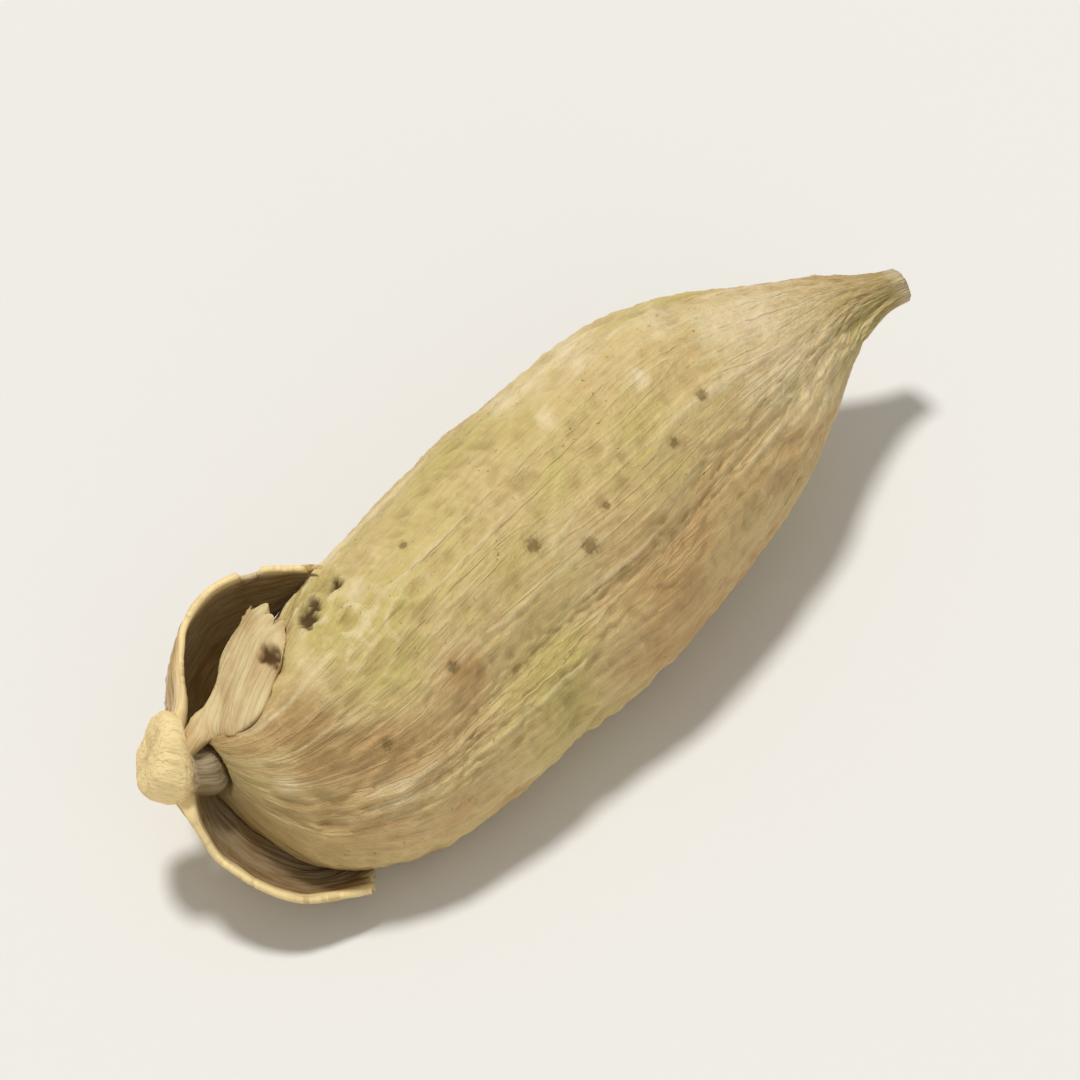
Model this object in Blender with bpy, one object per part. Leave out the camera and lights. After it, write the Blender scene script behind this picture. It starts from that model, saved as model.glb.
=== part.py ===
"""A dried green cardamom pod lying on its side, with the stub of its stalk.

Run with: blender --background --python part.py
All sizes are in metres. The pod is modelled along +X, from the stalk to the tip, with +Z up,
and is then moved so that it rests on z = 0.
A direction across the pod is an angle from +Y, turning towards +Z.
"""

import math

import bmesh
import bpy
from mathutils import Vector

MM = 0.001

# The capsule, measured over its ribs
POD_LENGTH = 18.5 * MM
POD_WIDTH = 6.6 * MM
CORNER_UP = math.radians(90)  # one of the three blunt corners points up, so a side lies down
CORNER_SHARE = 0.075  # how far the corners stand out, as a share of the radius
FLAT_DEPTH = 0.24 * MM  # how much of the belly is pressed flat where it rests

# The ribs, in equal numbers on each of the three sides
RIBS_PER_SIDE = 9
RIB_HEIGHT = 0.16 * MM
CORNER_RIB_GAIN = 1.25
RIB_UNEVENNESS = 0.35  # how much a rib rises and sinks along its length, as a share
RIB_WAVES = 1.6  # how many times it does so from the base to the tip
RIB_PHASE = 0.618  # how much later the next rib round the pod does so, as a share of a wave
STRAY = 0.17  # how far a rib strays sideways, as a share of the spacing
STRAY_WAVES = 0.9
STRAY_PHASE = 0.23
KEEL_RIB = 23  # a rib that stands out between the base and the middle
KEEL_GAIN = 0.9
KEEL_MIDDLE = 0.27  # share of the length at which it is highest
KEEL_HALF_LENGTH = 0.2
COLUMNS_PER_RIB = 4
FLANK_SHARE = 0.4  # height of a rib's flank, as a share of its crest

# A shallow seam is sunk along the middle of each side
SEAM_DEPTH = 0.12 * MM
SEAM_HALF_ANGLE = math.radians(9)

# The outline, as (share of the length, share of the half-width, sideways drift as a share of
# the width). The drift is towards BACK_UP, so the blunt base bulges to the front and down.
BACK_UP = math.radians(32)
OUTLINE = (
    (0.000, 0.220, -0.020),
    (0.012, 0.360, -0.090),
    (0.038, 0.530, -0.145),
    (0.092, 0.715, -0.166),
    (0.166, 0.865, -0.158),
    (0.260, 0.935, -0.112),
    (0.375, 0.965, -0.070),
    (0.497, 1.000, -0.036),
    (0.600, 0.955, 0.006),
    (0.690, 0.840, 0.027),
    (0.775, 0.660, 0.031),
    (0.850, 0.450, 0.042),
    (0.910, 0.275, 0.046),
    (0.965, 0.155, 0.022),
    (1.000, 0.120, 0.000),
)
RINGS_PER_SPAN = 2
SEAT_DEPTH = 0.5 * MM  # of the hollow in which the stalk sits
SCAR_SHARE = 0.6  # radius of the pit at the tip, as a share of the tip's own
SCAR_DEPTH = 0.3 * MM

# The stalk, a stub that leans away from the base, with a swollen and slightly hollow end.
# Its profile is (distance along the stub, radius).
STALK_LEAN = math.radians(44)
STALK_PROFILE = (
    (-0.26 * MM, 0.16 * MM),
    (-0.12 * MM, 0.34 * MM),
    (0.06 * MM, 0.38 * MM),
    (0.12 * MM, 0.70 * MM),
    (0.34 * MM, 0.62 * MM),
    (0.60 * MM, 0.68 * MM),
    (0.82 * MM, 0.88 * MM),
    (1.12 * MM, 0.98 * MM),
    (1.40 * MM, 0.92 * MM),
    (1.50 * MM, 0.70 * MM),
    (1.42 * MM, 0.34 * MM),
)
STALK_SIDES = 18
LEAN_END = 0.9 * MM  # distance along the stub at which it has its full lean

# What is left of the withered bract is three torn lobes that spring from the stub. Each has a free
# rim, as points (along the pod from its base, out towards BACK_UP, forward of that plane), and an
# edge that starts at such a point in the stub and then follows the pod, as (point of OUTLINE,
# angle in degrees). The bulge is how far a lobe is cupped away from the pod.
LOBE_HALF_THICKNESS = 0.3 * MM
LOBE_GAP = 0.08 * MM  # between a lobe's edge and the pod
LOBE_ROWS_PER_SPAN = 4
LOBE_COLUMNS = 6
CUP_POWER = 0.75  # the lower, the sooner a lobe's cup deepens from its two ends
SHORT_WAY = 0.03  # the share of a span over which a curve's direction is taken
UPPER_RIM = (
    (-0.70 * MM, 0.55 * MM, 0.00 * MM),
    (0.12 * MM, 1.30 * MM, 0.00 * MM),
    (0.80 * MM, 2.18 * MM, 0.05 * MM),
    (1.55 * MM, 2.80 * MM, 0.10 * MM),
    (2.60 * MM, 2.98 * MM, 0.10 * MM),
    (3.50 * MM, 2.72 * MM, 0.05 * MM),
    (4.40 * MM, 2.38 * MM, 0.05 * MM),
)
UPPER_ROOT = (-0.60 * MM, 0.30 * MM, -0.40 * MM)
UPPER_EDGE = ((0.2, -14), (1.2, -20), (2.4, -22), (3.5, -20), (4.2, -14), (4.8, 2))
UPPER_BULGE = -0.40 * MM
FLAP_RIM = (
    (-0.60 * MM, 0.55 * MM, 0.25 * MM),
    (0.05 * MM, 1.12 * MM, 0.24 * MM),
    (0.95 * MM, 1.45 * MM, 0.20 * MM),
    (1.60 * MM, 1.80 * MM, 0.18 * MM),
    (2.40 * MM, 2.20 * MM, 0.14 * MM),
    (3.05 * MM, 2.42 * MM, 0.10 * MM),
)
FLAP_ROOT = (-0.70 * MM, 0.25 * MM, 0.52 * MM)
FLAP_EDGE = ((0.3, 76), (1.2, 76), (2.2, 72), (3.1, 62), (3.7, 52))
FLAP_BULGE = 0.08 * MM
LOWER_RIM = (
    (-0.80 * MM, 0.00 * MM, 0.00 * MM),
    (-1.00 * MM, -0.95 * MM, 0.05 * MM),
    (-0.95 * MM, -1.75 * MM, 0.10 * MM),
    (-0.72 * MM, -2.50 * MM, 0.10 * MM),
    (-0.15 * MM, -3.20 * MM, 0.10 * MM),
    (0.75 * MM, -3.68 * MM, 0.05 * MM),
    (1.55 * MM, -4.02 * MM, 0.00 * MM),
)
LOWER_ROOT = (-0.55 * MM, -0.10 * MM, -0.45 * MM)
LOWER_EDGE = ((0.2, 286), (0.8, 264), (1.4, 247), (2.1, 235), (2.7, 227), (3.1, 221))
LOWER_BULGE = 0.22 * MM
LOBES = (
    ("upper_lobe", UPPER_RIM, UPPER_ROOT, UPPER_EDGE, UPPER_BULGE),
    ("flap", FLAP_RIM, FLAP_ROOT, FLAP_EDGE, FLAP_BULGE),
    ("lower_lobe", LOWER_RIM, LOWER_ROOT, LOWER_EDGE, LOWER_BULGE),
)

HUSK_COLOUR = (0.58, 0.43, 0.20, 1)
STALK_COLOUR = (0.72, 0.56, 0.31, 1)
HUSK_ROUGHNESS = 0.7
STALK_ROUGHNESS = 0.75

RIBS = 3 * RIBS_PER_SIDE
RIB_SPACING = math.tau / RIBS
SIDE_ANGLE = math.tau / 3


def across(angle):
    """The unit direction across the pod at this angle."""
    return Vector((0, math.cos(angle), math.sin(angle)))


def place(along, out, forward=0.0):
    """A point given along the pod, out towards BACK_UP, and forward of that plane."""
    return Vector((along, 0, 0)) + out * across(BACK_UP) + forward * across(BACK_UP + math.pi / 2)


def spline(before, first, second, after, part):
    """The Catmull-Rom curve from the first number to the second."""
    bend = 2 * before - 5 * first + 4 * second - after
    twist = 3 * first - before - 3 * second + after
    return first + 0.5 * part * (second - before + part * (bend + part * twist))


def curve_at(points, t):
    """The smooth curve through the points, t counting them from 0."""
    last = len(points) - 1
    start = min(int(t), last - 1)
    near = [points[min(max(start + step, 0), last)] for step in (-1, 0, 1, 2)]
    return [spline(*numbers, t - start) for numbers in zip(*near)]


def steps(points, per_span):
    """The values of t from the first point to the last, with per_span steps between neighbours."""
    return [i / per_span for i in range((len(points) - 1) * per_span + 1)]


def crest_radius(width_share, angle):
    """The radius over the ribs, a triangle with very blunt corners."""
    return width_share * POD_WIDTH / 2 * (1 + CORNER_SHARE * math.cos(3 * (angle - CORNER_UP)))


def seam_depth(share, angle):
    """How far the seam in the middle of each side sinks the husk."""
    from_seam = (angle - CORNER_UP + SIDE_ANGLE) % SIDE_ANGLE - SIDE_ANGLE / 2
    return SEAM_DEPTH * math.sin(math.pi * share) * math.exp(-((from_seam / SEAM_HALF_ANGLE) ** 2))


def rib_angle(rib, share):
    """Where a rib's crest runs at this share of the length."""
    wave = math.sin(math.tau * (STRAY_WAVES * share + STRAY_PHASE * (rib % RIBS)))
    return CORNER_UP + RIB_SPACING * (rib + STRAY * wave)


def rib_height(rib, share):
    """A rib's height as a share of the highest: no two are alike, and the corner ribs stand out."""
    wave = math.sin(math.tau * (RIB_WAVES * share + RIB_PHASE * (rib % RIBS)))
    gain = CORNER_RIB_GAIN if rib % RIBS_PER_SIDE == 0 else 1
    if rib % RIBS == KEEL_RIB:
        gain += KEEL_GAIN * math.exp(-(((share - KEEL_MIDDLE) / KEEL_HALF_LENGTH) ** 2))
    return gain * (1 - RIB_UNEVENNESS + RIB_UNEVENNESS * wave)


def husk_ring(t):
    """The points of one ring of the husk, rib by rib: crest, flank, valley, flank."""
    share, width_share, drift = curve_at(OUTLINE, t)
    middle = place(share * POD_LENGTH, drift * POD_WIDTH)
    depth = RIB_HEIGHT * math.sqrt(width_share)
    points = []
    for rib in range(RIBS):
        start, end = rib_angle(rib, share), rib_angle(rib + 1, share)
        here, following = rib_height(rib, share), rib_height(rib + 1, share)
        for step, height in enumerate((here, FLANK_SHARE * here, 0, FLANK_SHARE * following)):
            angle = start + (end - start) * step / COLUMNS_PER_RIB
            sunk = depth * (1 - height) + seam_depth(share, angle)
            points.append(middle + (crest_radius(width_share, angle) - sunk) * across(angle))
    return points


def ring_middle(points):
    return sum(points, Vector()) / len(points)


def tube_mesh(name, rings, start_point, end_point):
    """A closed mesh through rings of equal length, with a fan to a point at each end."""
    shape = bmesh.new()
    loops = [[shape.verts.new(point) for point in ring] for ring in rings]
    sides = len(rings[0])
    for near, far in zip(loops, loops[1:]):
        for i in range(sides):
            j = (i + 1) % sides
            shape.faces.new((near[i], near[j], far[j], far[i]))
    for loop, point in ((loops[0], start_point), (loops[-1], end_point)):
        tip = shape.verts.new(point)
        for i in range(sides):
            shape.faces.new((loop[i], loop[(i + 1) % sides], tip))
    bmesh.ops.recalc_face_normals(shape, faces=shape.faces)
    mesh = bpy.data.meshes.new(name)
    shape.to_mesh(mesh)
    shape.free()
    return mesh


def add_object(name, mesh, material):
    thing = bpy.data.objects.new(name, mesh)
    bpy.context.scene.collection.objects.link(thing)
    mesh.materials.append(material)
    return thing


def make_material(name, colour, roughness):
    material = bpy.data.materials.new(name)
    material.use_nodes = True
    shader = material.node_tree.nodes["Principled BSDF"]
    shader.inputs["Base Color"].default_value = colour
    shader.inputs["Roughness"].default_value = roughness
    shader.inputs["Metallic"].default_value = 0
    return material


def press_flat(mesh):
    """Presses the lowest part of the belly flat and returns the height of that flat spot."""
    floor = min(vertex.co.z for vertex in mesh.vertices) + FLAT_DEPTH
    for vertex in mesh.vertices:
        vertex.co.z = max(vertex.co.z, floor)
    return floor


def make_pod(material):
    """The ribbed capsule, from the hollow that holds the stalk to the pit at its tip."""
    rings = [husk_ring(t) for t in steps(OUTLINE, RINGS_PER_SPAN)]
    tip_middle = ring_middle(rings[-1])
    rings.append([tip_middle.lerp(point, SCAR_SHARE) for point in rings[-1]])
    seat = ring_middle(rings[0]) + Vector((SEAT_DEPTH, 0, 0))
    pit = tip_middle - Vector((SCAR_DEPTH, 0, 0))
    mesh = tube_mesh("pod", rings, seat, pit)
    return add_object("pod", mesh, material), press_flat(mesh)


def round_ring(middle, forward, radius):
    """A ring of points square to the forward direction."""
    first = forward.cross(across(BACK_UP + math.pi / 2)).normalized()
    second = first.cross(forward).normalized()
    turns = (math.tau * i / STALK_SIDES for i in range(STALK_SIDES))
    return [middle + radius * (math.cos(turn) * first + math.sin(turn) * second) for turn in turns]


def make_stub(material):
    """The stub with its swollen end. It leaves the base squarely and then leans over."""
    straight = Vector((-1, 0, 0))
    lean = place(-math.cos(STALK_LEAN), math.sin(STALK_LEAN))
    root = place(0, OUTLINE[0][2] * POD_WIDTH)
    rings = []
    for along, radius in STALK_PROFILE:
        forward = straight.lerp(lean, min(max(along / LEAN_END, 0), 1)).normalized()
        rings.append(round_ring(root + along * forward, forward, radius))
    ends = (ring_middle(rings[0]), ring_middle(rings[-1]))
    return add_object("stalk", tube_mesh("stalk", rings, *ends), material)


def on_pod(t, angle):
    """Where the middle of a lobe's edge runs, at a point of the pod's outline and an angle."""
    share, width_share, drift = curve_at(OUTLINE, t)
    next_share, next_width_share, _ = curve_at(OUTLINE, t + SHORT_WAY)
    radius = crest_radius(width_share, angle)
    slope = crest_radius(next_width_share, angle) - radius
    rise = Vector(((next_share - share) * POD_LENGTH, slope)).normalized()
    stand_off = Vector((-rise.y, 0, 0)) + rise.x * across(angle)
    middle = place(share * POD_LENGTH, drift * POD_WIDTH)
    return middle + radius * across(angle) + (LOBE_GAP + LOBE_HALF_THICKNESS) * stand_off


def lobe_point(near_route, far_route, t, v, bulge):
    """A point half-way through a lobe, t from root to free end and v from rim to edge, 0 to 1."""
    last = len(near_route) - 1
    near = Vector(curve_at(near_route, t * last))
    far = Vector(curve_at(far_route, t * (len(far_route) - 1)))
    ahead = Vector(curve_at(near_route, min(t * last + SHORT_WAY, last)))
    behind = Vector(curve_at(near_route, max(t * last - SHORT_WAY, 0)))
    away = (far - near).cross(ahead - behind).normalized()
    cupped = 2 * bulge * math.sin(math.pi * t) ** CUP_POWER
    belly = (near + far) / 2 + cupped * away
    return near * (1 - v) ** 2 + belly * 2 * v * (1 - v) + far * v * v


def make_lobe(name, rim, root, edge, bulge, material):
    """One torn lobe of the bract, a cupped blade between its free rim and its edge on the pod."""
    near_route = [place(*point) for point in rim]
    far_route = [place(*root)] + [on_pod(t, math.radians(degrees)) for t, degrees in edge]
    last_row, last_column = (len(rim) - 1) * LOBE_ROWS_PER_SPAN, LOBE_COLUMNS - 1
    grid = [
        [
            lobe_point(near_route, far_route, row / last_row, column / last_column, bulge)
            for column in range(LOBE_COLUMNS)
        ]
        for row in range(last_row + 1)
    ]
    rings = []
    for row, points in enumerate(grid):
        outer, inner = [], []
        for column, point in enumerate(points):
            aside = points[min(column + 1, last_column)] - points[max(column - 1, 0)]
            forward = grid[min(row + 1, last_row)][column] - grid[max(row - 1, 0)][column]
            stand_off = LOBE_HALF_THICKNESS * forward.cross(aside).normalized()
            outer.append(point + stand_off)
            inner.append(point - stand_off)
        rings.append(outer + inner[::-1])
    mesh = tube_mesh(name, rings, ring_middle(rings[0]), ring_middle(rings[-1]))
    return add_object(name, mesh, material)


def join_to(body, others):
    """Joins the others to the body as one solid and removes them."""
    grown = bpy.data.collections.new("grown_on_the_body")
    bpy.context.scene.collection.children.link(grown)
    for other in others:
        bpy.context.scene.collection.objects.unlink(other)
        grown.objects.link(other)
    union = body.modifiers.new("union", "BOOLEAN")
    union.operation = "UNION"
    union.operand_type = "COLLECTION"
    union.collection = grown
    union.solver = "EXACT"
    bpy.context.view_layer.update()
    joined = body.evaluated_get(bpy.context.evaluated_depsgraph_get())
    mesh = bpy.data.meshes.new_from_object(joined)
    body.modifiers.remove(union)
    body.data = mesh
    for other in others:
        bpy.data.objects.remove(other)
    bpy.data.collections.remove(grown)


def make_stalk(material):
    """The stub and the lobes of the bract that grow from it, as one piece."""
    stub = make_stub(material)
    join_to(stub, [make_lobe(*lobe, material) for lobe in LOBES])
    return stub


def set_down(things, floor):
    """Moves everything so that the flat spot is at z = 0 and the middle of the box at x = y = 0."""
    points = [vertex.co for thing in things for vertex in thing.data.vertices]
    middle_x = (min(p.x for p in points) + max(p.x for p in points)) / 2
    middle_y = (min(p.y for p in points) + max(p.y for p in points)) / 2
    for thing in things:
        for vertex in thing.data.vertices:
            vertex.co -= Vector((middle_x, middle_y, floor))


def main():
    for old in list(bpy.data.objects):
        bpy.data.objects.remove(old)
    pod, floor = make_pod(make_material("dried_husk", HUSK_COLOUR, HUSK_ROUGHNESS))
    stalk = make_stalk(make_material("dried_stalk", STALK_COLOUR, STALK_ROUGHNESS))
    set_down((pod, stalk), floor)
    for thing in (pod, stalk):
        thing.data.shade_smooth()


main()
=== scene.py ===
"""The looks of a dried green cardamom pod: its ribbed husk, the stub of its stalk and what is left
of its bract, in a plain studio.

The pod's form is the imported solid's. Lengths are in metres unless a name ends in _MM, and a
direction across the pod is an angle from +Y, turning towards +Z.
"""

import math

import bpy
from mathutils import Matrix, Vector, noise


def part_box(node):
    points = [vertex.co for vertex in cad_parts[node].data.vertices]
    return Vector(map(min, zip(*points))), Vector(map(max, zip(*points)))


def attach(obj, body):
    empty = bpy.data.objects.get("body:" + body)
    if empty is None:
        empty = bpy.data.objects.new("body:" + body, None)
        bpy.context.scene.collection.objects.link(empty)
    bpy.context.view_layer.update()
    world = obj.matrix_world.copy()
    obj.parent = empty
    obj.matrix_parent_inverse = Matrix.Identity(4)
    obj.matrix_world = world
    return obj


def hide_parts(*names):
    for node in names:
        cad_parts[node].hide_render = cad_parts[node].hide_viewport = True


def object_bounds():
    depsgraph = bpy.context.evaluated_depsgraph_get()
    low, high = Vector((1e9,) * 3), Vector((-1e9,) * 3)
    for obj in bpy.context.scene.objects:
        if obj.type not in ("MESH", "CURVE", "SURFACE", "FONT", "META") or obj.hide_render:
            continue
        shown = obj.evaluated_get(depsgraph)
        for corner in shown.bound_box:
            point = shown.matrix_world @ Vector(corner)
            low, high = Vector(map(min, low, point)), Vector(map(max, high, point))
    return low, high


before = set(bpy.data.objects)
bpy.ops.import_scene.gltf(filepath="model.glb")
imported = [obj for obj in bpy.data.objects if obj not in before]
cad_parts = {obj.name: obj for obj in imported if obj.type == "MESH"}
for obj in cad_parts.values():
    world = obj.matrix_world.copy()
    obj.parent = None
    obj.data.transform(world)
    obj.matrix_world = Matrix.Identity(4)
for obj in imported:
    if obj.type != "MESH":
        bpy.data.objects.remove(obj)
CAD_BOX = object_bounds()

bl_info = {
    "name": "Cardamom pod",
    "version": (1, 0, 0),
    "blender": (4, 5, 0),
    "location": "3D View > Sidebar > Cardamom",
    "description": "Builds a dried green cardamom pod with its stalk, and a studio for it",
    "category": "Object",
}

MM = 0.001
BODY = "root"
# What the points of the husk, and those of the stalk and bract, record for their materials
# deep paints shade: inside the torn holes, and on the stalk round its neck and inside the bract's lobes
HUSK_RECORD = ("grain", "crest", "cell", "tint", "speck", "deep")
STALK_RECORD = ("grain", "hollow", "bare", "deep", "skin")

# The form of the capsule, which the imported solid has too
POD_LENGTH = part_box("pod")[1].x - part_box("pod")[0].x
POD_WIDTH = 6.6 * MM
CORNER_UP = math.radians(90)
CORNER_SHARE = 0.075
RIBS_PER_SIDE = 9
RIB_HEIGHT = 0.16 * MM
CORNER_RIB_GAIN = 1.25
RIB_UNEVENNESS = 0.35
RIB_WAVES = 1.6
RIB_PHASE = 0.618
STRAY = 0.17
STRAY_WAVES = 0.9
STRAY_PHASE = 0.23
KEEL_RIB = 23  # a rib that stands out between the base and the middle
KEEL_GAIN = 0.9
KEEL_MIDDLE = 0.27
KEEL_HALF_LENGTH = 0.2
SEAM_DEPTH = 0.12 * MM
SEAM_HALF_ANGLE = math.radians(9)
BACK_UP = math.radians(32)
# Share of the length, share of the half-width, drift towards BACK_UP as a share of the width
OUTLINE = (
    (0.000, 0.220, -0.020),
    (0.012, 0.360, -0.090),
    (0.038, 0.530, -0.145),
    (0.092, 0.715, -0.166),
    (0.166, 0.865, -0.158),
    (0.260, 0.935, -0.112),
    (0.375, 0.965, -0.070),
    (0.497, 1.000, -0.036),
    (0.600, 0.955, 0.006),
    (0.690, 0.840, 0.027),
    (0.775, 0.660, 0.031),
    (0.850, 0.450, 0.042),
    (0.910, 0.275, 0.046),
    (0.965, 0.155, 0.022),
    (1.000, 0.120, 0.000),
)
RIBS = 3 * RIBS_PER_SIDE
RIB_SPACING = math.tau / RIBS
SIDE_ANGLE = math.tau / 3

# The husk as it is drawn, and the nerves on it
RINGS = 236
PROFILE_STEPS = 40  # from one point of OUTLINE to the next, to measure the profile
COLUMNS_PER_RIB = 15
SWELL_HALF_WIDTH = 0.30  # of the swell that a rib's nerve rides on, as a share of the spacing
SWELL_SHARE = 0.42  # of a rib's height that the swell makes up
NERVE_HALF_WIDTH = 0.10
FINE_NERVES = ((0.30, 0.085), (0.52, 0.07), (0.73, 0.085))  # between two ribs: (place, half-width)
FINE_NERVE_HEIGHT = 0.42
NERVE_WAVER = 0.10  # how far the nerves stray sideways, as a share of the spacing
FADED_NERVE = 0.35  # the share of its height that a nerve keeps where it fades
MEAN_HEIGHT = 0.4  # of the husk between the ribs' crests and its valleys
SEAT_RINGS = ((0.9, 0.02), (0.7, 0.10), (0.45, 0.30))  # (share of the rim's radius, depth in mm)
SCAR_RINGS = ((0.86, -0.03), (0.66, 0.02), (0.45, 0.16), (0.2, 0.28))
SEAT_DEPTH = 0.5 * MM
SCAR_DEPTH = 0.3 * MM

# Noise on the husk: (width across its fibres, length along them) in mm, and a seed
WAVER = ((0.6, 1.7), 9.9)
DENTS = ((2.3, 3.0), 0.0)
SMALL_DENTS = ((1.0, 3.0 / 2.3), 4.1)
CRINKLE = ((0.62, 0.70), 3.3)
FINE_CRINKLE = ((0.34, 0.27), 7.1)
PUCKER = ((0.9, 1.6), 15.0)  # where the skin is drawn together round the stalk
FIBRES = ((0.13, 1.3), 1.7)
COARSE_FIBRES = ((0.26, 2.6), 8.3)
# Patches of the husk: noise as above, and the values of it at which a patch begins and is full
STRONG_NERVES = ((1.5, 3.6), 6.6, -0.45, 0.30)
FINE_NERVE_STRETCHES = ((0.5, 2.8), 21.0, -0.25, 0.25)
NEXT_NERVE_SEED = 3
CREASED_SKIN = ((2.6, 3.0), 12.0, -0.35, 0.35)

# How much each form counts for in the skin, as a share
SMALL_DENT_SHARE = 0.5
FINE_CRINKLE_SHARE = 0.5
PUCKER_SHARE = 0.8
COARSE_FIBRE_SHARE = 0.6
SMOOTH_SKIN = 0.35  # what is left of the crinkle between the creased patches
FINE_LOSS = 0.45  # what the fine crinkle loses within them
PUCKER_END = (0.02, 0.22)  # the shares of the length over which the puckers run out
CALM_ENDS = 0.3  # what is left of the relief at the two rims of the husk
CALM_BASE = 0.04  # the share of the length where it is back at its full height
CALM_TIP = 0.9  # and the one from which it fades again
FRAYED_TIP = (0.975, 0.995)  # the shares of the length over which the tip turns pale
FRAYED_WORN = 1.8

# Marks on the pod's upper side. Each has a place (along the pod, out towards BACK_UP) and a radius
# in mm, as in_view gives them. A blush also has a tint: -1 is green, 1 is tan and 2 is brown.
VIEW_SLANT = 0.476  # how far in_view moves a place along the pod for each mm that it is forward
HIDDEN = -0.5  # how far forward, in mm, a spot has to be to carry marks
BLUSHES = (
    (7.2, -2.6, 1.3, -1.3),
    (8.3, 1.3, 1.9, -0.7),
    (10.2, -2.6, 1.9, 1.2),
    (7.4, -0.4, 1.1, 0.8),
    (3.4, -1.8, 0.7, 1.6),
    (5.6, -1.3, 0.5, 1.6),
    (2.3, -0.8, 0.8, 2.4),
    (14.5, 0.5, 2.2, 0.2),
    (3.6, 0.9, 1.1, -0.5),
)
SPECKS = (
    (8.4, -0.15, 0.18),
    (9.4, -0.80, 0.18),
    (13.3, 0.40, 0.13),
    (12.2, -0.05, 0.12),
    (5.5, -1.20, 0.13),
    (3.4, -1.70, 0.14),
    (10.2, -0.30, 0.09),
    (6.1, 1.30, 0.10),
)
# Where the skin is paler, with a strength: pale from wear in places, and a painted highlight along the
# pod's upper edge, where it catches the light
WORN_AND_HIGHLIGHT_SPOTS = (
    (2.9, -2.65, 0.8, 0.6),
    (3.0, 0.45, 0.35, 0.7),
    (12.3, 2.1, 0.8, 0.5),
    (15.4, 0.3, 1.6, 1.2),
    (9.0, -0.4, 1.2, 0.4),
    (10.2, 1.75, 0.20, 1.5),
    (12.35, 1.37, 0.18, 1.7),
    (14.4, 1.45, 0.45, 1.1),
    (15.3, 1.20, 0.50, 0.9),
    (9.6, 2.45, 0.32, 1.2),
    (10.4, 2.55, 0.40, 1.2),
    (11.4, 2.55, 0.45, 1.3),
    (13.4, 2.10, 0.45, 0.9),
    (4.7, 1.10, 0.28, 1.0),
    (1.25, 0.40, 0.45, 0.8),
    (1.1, -1.25, 0.35, 0.8),
)
# Where it is dull and brown, with a strength
DULL_SPOTS = (
    (2.4, -0.9, 0.8, 1.3),
    (3.6, -1.3, 0.5, 0.7),
    (1.4, 0.2, 0.6, 0.8),
    (1.5, -1.7, 0.9, 0.8),
    (8.6, 1.4, 1.5, 0.4),
)
# Torn holes at the edge of the flap, with painted shade inside them
PITS = ((2.40, 0.95, 0.20), (3.52, 1.18, 0.19), (3.80, 1.30, 0.13), (4.45, 1.43, 0.12))
PIT_EDGE = (1.35, 0.7)  # the shares of its radius over which a hole deepens
PIT_RAGGED = 0.5  # how unevenly its edge runs, as a share of the radius
PIT_NOISE = ((0.11, 0.11, 0.5), 3.0)  # widths in mm, and a seed
PIT_DEPTH = 0.12 * MM
# A painted highlight: the pale line along the pod's upper side, where its edge catches the light.
# Where it starts and ends along the pod, how long it fades there, and how far forward it reaches, in mm
EDGE_HIGHLIGHT = (4.5, 7.4, 0.9, 0.90)
EDGE_HIGHLIGHT_SOFTNESS = 0.25  # how soft and how uneven its lower edge is, in mm
EDGE_HIGHLIGHT_NOISE = ((0.5, 0.5, 2.0), 6.0)
EDGE_HIGHLIGHT_FROM = (-0.5, -0.2)  # how far forward its upper edge starts, in mm
# how much paler the painted highlight makes the skin
EDGE_HIGHLIGHT_GAIN = 1.6
CREASED_SPOT = (4.4, 0.9, 0.9)  # where the skin is creased the most
CREASED_GAIN = 1.3

# The stalk, which leans away from the base: (distance along it, radius)
STALK_LEAN = math.radians(44)
LEAN_END = 0.9 * MM
STALK_PROFILE_MM = (
    (-0.30, 0.22),
    (-0.10, 0.40),
    (0.12, 0.48),
    (0.34, 0.46),
    (0.50, 0.50),
    (0.65, 0.68),
    (0.82, 0.83),
    (1.08, 0.87),
    (1.26, 0.78),
    (1.33, 0.56),
    (1.30, 0.27),
    (1.28, 0.03),
)
# Stretches of the profile, from point to point of it
END_FACE = (4.2, 5.4)  # where the bare, broken end begins
NECK_END = (4.6, 3.6)
SMOOTH_END = (11, 7)  # where the roughness of its sides runs out
TORN_END = (5, 8)  # where the torn ends of the fibres begin
NECK_SHADE = 0.6  # how dark the painted shade lies round the stalk below its swollen end
GROOVE_SHADE = 0.5
GROOVE_MM = (0.0, -0.07)  # how deep a groove between the fibres lies where it darkens
PITH_SHADE = 0.35
PITH_MM = (0.45, 0.1)  # the radii between which the hollow pith darkens the end
# Layers of noise, (height in mm, widths in mm, seed) each
STALK_ROUGHNESS = (
    (0.10, (0.6, 0.6, 1.0), 2.2),
    (0.05, (0.22, 0.22, 1.0), 5.5),
    (0.02, (0.09, 0.09, 0.9), 6.5),
)
STALK_TEARS = ((0.09, (0.45, 0.45, 9), 7.7), (0.03, (0.13, 0.13, 9), 1.4))
STALK_SIDES = 120
STALK_RINGS_PER_SPAN = 8

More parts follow.
